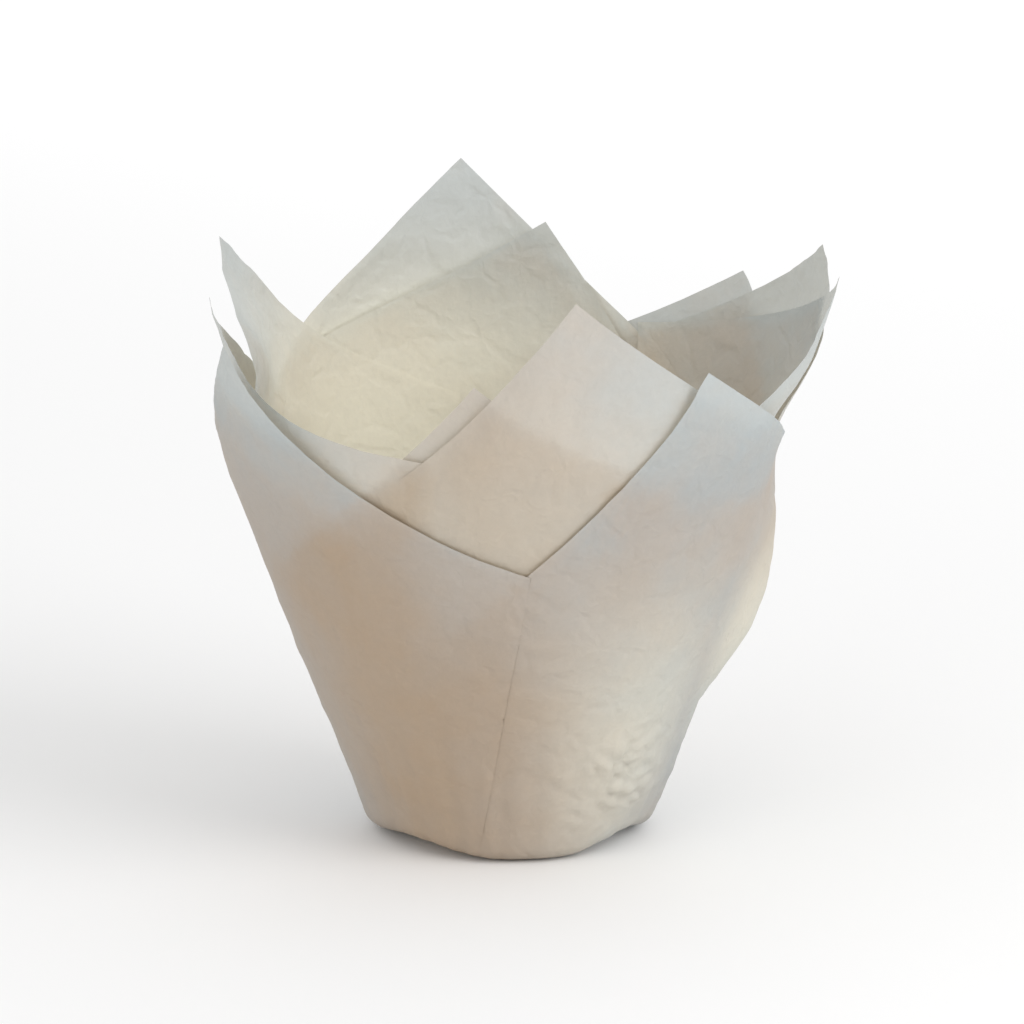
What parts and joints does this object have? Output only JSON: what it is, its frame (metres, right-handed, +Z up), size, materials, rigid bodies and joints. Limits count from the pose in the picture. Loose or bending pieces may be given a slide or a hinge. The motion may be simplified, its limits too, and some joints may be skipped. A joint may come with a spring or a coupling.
{
  "type": "tulip baking cup",
  "caption": "Open baking cup of nested square paper sheets, pleated over a round base so that the corners stand up as pointed petals.",
  "frame": {"origin": "middle of the round base, on its underside", "axes": "+Z up out of the cup's mouth, -Y the front in the picture, +X to the right of it"},
  "size_m": [0.104, 0.1007, 0.1023],
  "materials": {
    "outer_paper": "matt translucent greaseproof paper, off-white",
    "middle_paper": "matt translucent greaseproof paper, off-white",
    "inner_paper": "matt translucent greaseproof paper, off-white"
  },
  "bodies": {
    "root": {"outer_sheet": "outer_paper", "middle_sheet": "middle_paper", "inner_sheet": "inner_paper"}
  },
  "joints": []
}
